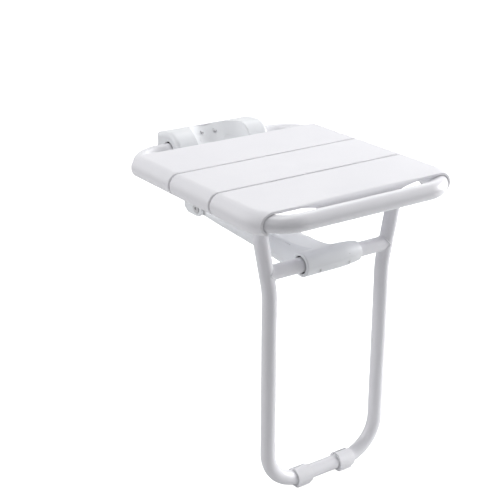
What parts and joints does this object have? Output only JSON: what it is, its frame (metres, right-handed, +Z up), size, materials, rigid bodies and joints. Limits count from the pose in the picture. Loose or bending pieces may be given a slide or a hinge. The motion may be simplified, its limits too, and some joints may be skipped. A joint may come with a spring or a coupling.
{
  "type": "fold down wall seat",
  "caption": "Wall-mounted shower seat with a slatted plastic top on a tube frame, folding up with a swinging tube leg and a hinged tie arm.",
  "frame": {"origin": "centre of the four wall fixing holes, on the face that lies on the wall", "axes": "+Y into the wall, +Z up, +X to the right as seen by someone facing the wall"},
  "size_m": [0.3514, 0.4165, 0.4863],
  "materials": {
    "white_paint": "gloss powder coat",
    "slat_plastic": "fine satin",
    "housing_plastic": "moulded satin",
    "trim_plastic": "moulded satin",
    "bush_plastic": "plain",
    "steel": "turned",
    "pad_rubber": "matt"
  },
  "bodies": {
    "wall_bracket": {"wall_plate": "white_paint", "hinge_base": "housing_plastic", "lug_cap_left": "housing_plastic", "lug_cap_right": "housing_plastic", "fixing_caps": "housing_plastic", "base_screws": "steel", "lug_cap_screws": "steel", "hinge_bush_left": "bush_plastic", "hinge_bush_right": "bush_plastic", "arm_bracket": "housing_plastic", "arm_bracket_screws": "steel", "arm_pin": "steel", "arm_pin_clip": "steel", "arm_washers": "bush_plastic"},
    "seat": {"seat_frame": "white_paint", "frame_end_plug_left": "trim_plastic", "frame_end_plug_right": "trim_plastic", "slat_rear": "slat_plastic", "slat_middle": "slat_plastic", "slat_front": "slat_plastic", "slat_screws": "steel", "pivot_spacer_left": "trim_plastic", "pivot_spacer_right": "trim_plastic", "pivot_insert_left": "steel", "pivot_insert_right": "steel", "pivot_bolt_left": "steel", "pivot_bolt_right": "steel"},
    "leg": {"leg_frame": "white_paint", "leg_top_cap_left": "trim_plastic", "leg_top_cap_right": "trim_plastic", "pivot_bush_left": "bush_plastic", "pivot_bush_right": "bush_plastic", "crossbar": "white_paint", "foot_clip_left": "trim_plastic", "foot_clip_right": "trim_plastic", "foot_pad_left": "pad_rubber", "foot_pad_right": "pad_rubber"},
    "arm": {"arm_body": "housing_plastic", "arm_cover": "housing_plastic", "sleeve_cap": "housing_plastic", "arm_screws": "steel", "sleeve_screws": "steel", "arm_end_bushes": "bush_plastic", "sleeve_bush": "bush_plastic"}
  },
  "joints": [
    {"name": "seat_fold", "type": "hinge", "parent": "wall_bracket", "child": "seat", "pos_m": [0, -0.034, 0.05], "axis": [-1, 0, 0], "range_deg": [0, 86]},
    {"name": "leg_fold", "type": "hinge", "parent": "seat", "child": "leg", "pos_m": [0, -0.318, 0.05], "axis": [-1, 0, 0], "range_deg": [-86, 0]},
    {"name": "arm_fold", "type": "hinge", "parent": "wall_bracket", "child": "arm", "pos_m": [0, -0.04, -0.05], "axis": [-1, 0, 0], "range_deg": [0, 86]}
  ],
  "couplings": [
    {"joint": "leg_fold", "follows": "seat_fold", "ratio": -1},
    {"joint": "arm_fold", "follows": "seat_fold", "ratio": 1}
  ]
}
